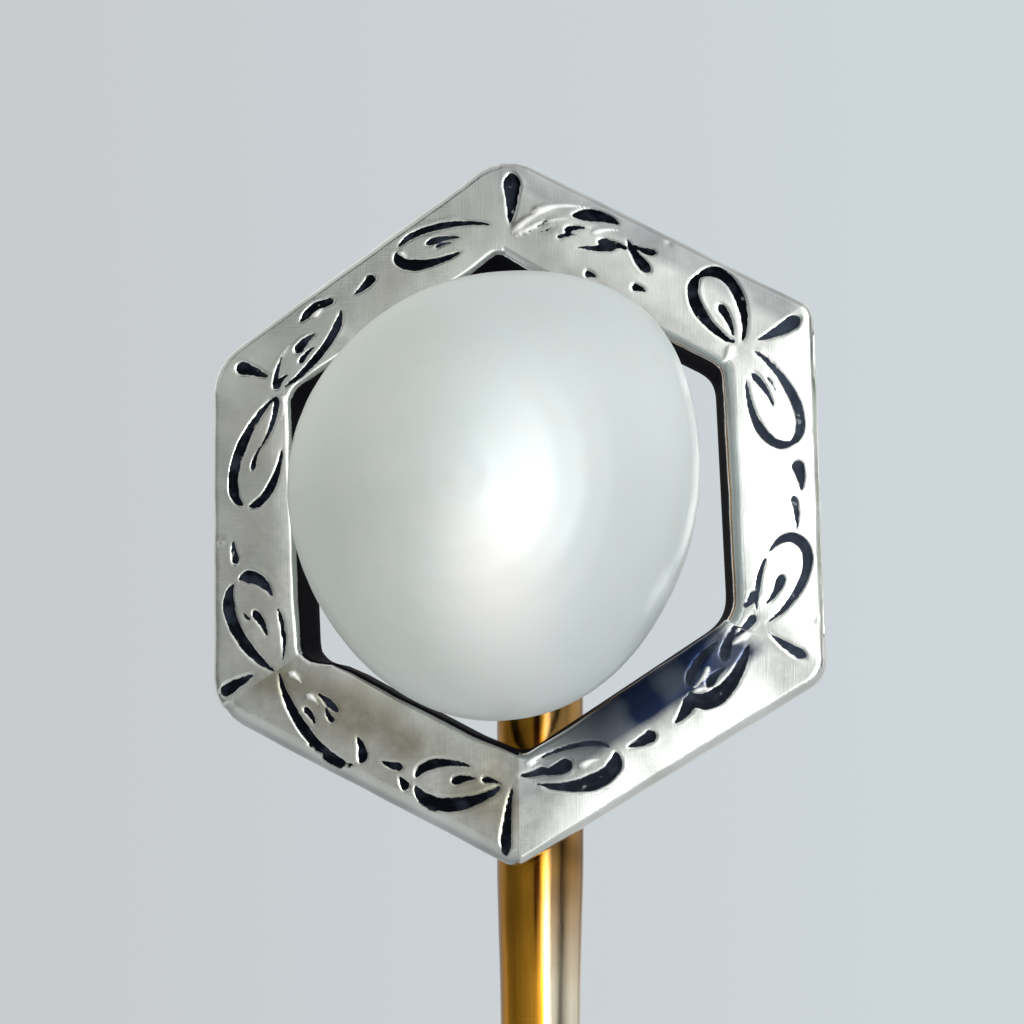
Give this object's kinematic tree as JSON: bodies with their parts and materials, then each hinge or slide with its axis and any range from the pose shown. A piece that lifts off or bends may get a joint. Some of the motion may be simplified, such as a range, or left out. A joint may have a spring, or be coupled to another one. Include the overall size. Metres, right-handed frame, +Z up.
{
  "type": "pearl hat pin",
  "caption": "Short hat or stick pin: engraved hexagonal white-metal frame round a pearl, on a gold stem, with a slide-on ball-lock point guard.",
  "frame": {"origin": "on the stem's axis, where the cloth grips it, 18 mm below the head's centre", "axes": "+Z runs up the stem to the head, the pearl and the engraved face look along -Y, +X is to the right seen from the front"},
  "size_m": [0.0094, 0.0084, 0.0539],
  "materials": {
    "white_gold": "gloss",
    "nacre": "gloss",
    "yellow_gold": "gloss",
    "gold_plate": "gloss",
    "solder": "satin",
    "steel": "gloss",
    "cement": "matte"
  },
  "bodies": {
    "pin": {"hex_frame": "white_gold", "pearl": "nacre", "pearl_cup": "yellow_gold", "pearl_peg": "yellow_gold", "pearl_cement": "cement", "stem": "yellow_gold", "lower_solder": "solder", "upper_solder": "solder"},
    "guard": {"guard_barrel": "gold_plate", "cone_sleeve": "steel", "mouth_bush": "gold_plate", "release_spring": "steel"},
    "release": {"ball_carrier": "steel", "release_knob": "gold_plate"},
    "ball_1": {"lock_ball_1": "steel"},
    "ball_2": {"lock_ball_2": "steel"},
    "ball_3": {"lock_ball_3": "steel"}
  },
  "joints": [
    {"name": "guard_slide", "type": "slide", "parent": "pin", "child": "guard", "axis": [0, 0, -1], "range_m": [0, 0.01]},
    {"name": "release_slide", "type": "slide", "parent": "guard", "child": "release", "axis": [0, 0, -1], "range_m": [0, 0.0008], "stiffness_N_per_m": 200, "deforming": ["release_spring"]},
    {"name": "ball_1_slide", "type": "slide", "parent": "release", "child": "ball_1", "axis": [0, -1, 0], "range_m": [0, 0.00018]},
    {"name": "ball_2_slide", "type": "slide", "parent": "release", "child": "ball_2", "axis": [0.866, 0.5, 0], "range_m": [0, 0.00018]},
    {"name": "ball_3_slide", "type": "slide", "parent": "release", "child": "ball_3", "axis": [-0.866, 0.5, 0], "range_m": [0, 0.00018]}
  ],
  "couplings": [
    {"joint": "ball_1_slide", "follows": "release_slide", "ratio": 0.2126},
    {"joint": "ball_2_slide", "follows": "release_slide", "ratio": 0.2126},
    {"joint": "ball_3_slide", "follows": "release_slide", "ratio": 0.2126}
  ]
}
